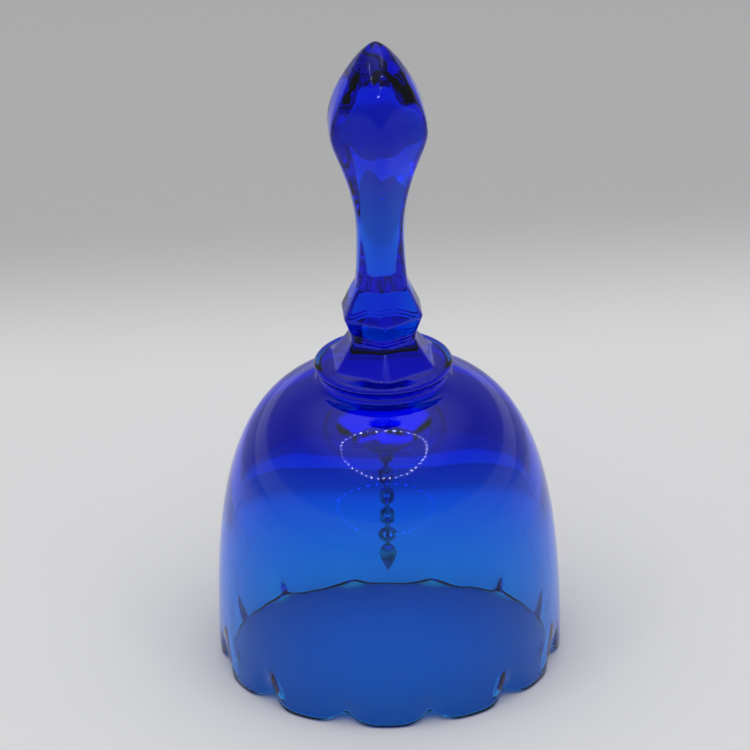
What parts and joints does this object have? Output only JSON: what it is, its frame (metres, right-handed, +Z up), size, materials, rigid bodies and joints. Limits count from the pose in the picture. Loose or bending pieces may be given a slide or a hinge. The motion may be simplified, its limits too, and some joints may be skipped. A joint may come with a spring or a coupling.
{
  "type": "glass hand bell",
  "caption": "Hand bell in blue pressed glass: a dome cup with a fluted, scalloped rim, a six-sided handle with a faceted finial, and a metal drop clapper on a fine chain.",
  "frame": {"origin": "middle of the rim circle, on the surface that the bell stands on", "axes": "+Z up through the handle to the finial; one long edge of the six-sided handle faces -Y; +X to the right of that edge"},
  "size_m": [0.0792, 0.0792, 0.152],
  "materials": {
    "cobalt_glass": "fire-polished clear cobalt blue pressed glass",
    "chain_metal": "dulled brass wire and casting",
    "cement": "cured clear-grey glass cement, satin"
  },
  "bodies": {
    "bell": {"bell_cup": "cobalt_glass", "handle": "cobalt_glass", "crown_cement": "cement", "hanger_eye": "chain_metal"},
    "link_01": {"chain_link_01": "chain_metal"},
    "link_02": {"chain_link_02": "chain_metal"},
    "link_03": {"chain_link_03": "chain_metal"},
    "link_04": {"chain_link_04": "chain_metal"},
    "link_05": {"chain_link_05": "chain_metal"},
    "link_06": {"chain_link_06": "chain_metal"},
    "link_07": {"chain_link_07": "chain_metal"},
    "ring": {"clapper_ring": "chain_metal"},
    "drop": {"clapper_drop": "chain_metal"}
  },
  "joints": [
    {"name": "link_01_swing", "type": "hinge", "parent": "bell", "child": "link_01", "pos_m": [0, 0, 0.05371], "axis": [1, 0, 0], "range_deg": [-16, 16]},
    {"name": "link_02_swing", "type": "hinge", "parent": "link_01", "child": "link_02", "pos_m": [0, 0, 0.05083], "axis": [0, 1, 0], "range_deg": [-16, 16]},
    {"name": "link_03_swing", "type": "hinge", "parent": "link_02", "child": "link_03", "pos_m": [0, 0, 0.04795], "axis": [1, 0, 0], "range_deg": [-16, 16]},
    {"name": "link_04_swing", "type": "hinge", "parent": "link_03", "child": "link_04", "pos_m": [0, 0, 0.04507], "axis": [0, 1, 0], "range_deg": [-16, 16]},
    {"name": "link_05_swing", "type": "hinge", "parent": "link_04", "child": "link_05", "pos_m": [0, 0, 0.04219], "axis": [1, 0, 0], "range_deg": [-16, 16]},
    {"name": "link_06_swing", "type": "hinge", "parent": "link_05", "child": "link_06", "pos_m": [0, 0, 0.03931], "axis": [0, 1, 0], "range_deg": [-16, 16]},
    {"name": "link_07_swing", "type": "hinge", "parent": "link_06", "child": "link_07", "pos_m": [0, 0, 0.03643], "axis": [1, 0, 0], "range_deg": [-16, 16]},
    {"name": "clapper_ring_swing", "type": "hinge", "parent": "link_07", "child": "ring", "pos_m": [0, 0, 0.03355], "axis": [0, 1, 0], "range_deg": [-20, 20]},
    {"name": "clapper_drop_swing", "type": "hinge", "parent": "ring", "child": "drop", "pos_m": [0, 0, 0.03143], "axis": [1, 0, 0], "range_deg": [-35, 35]}
  ]
}
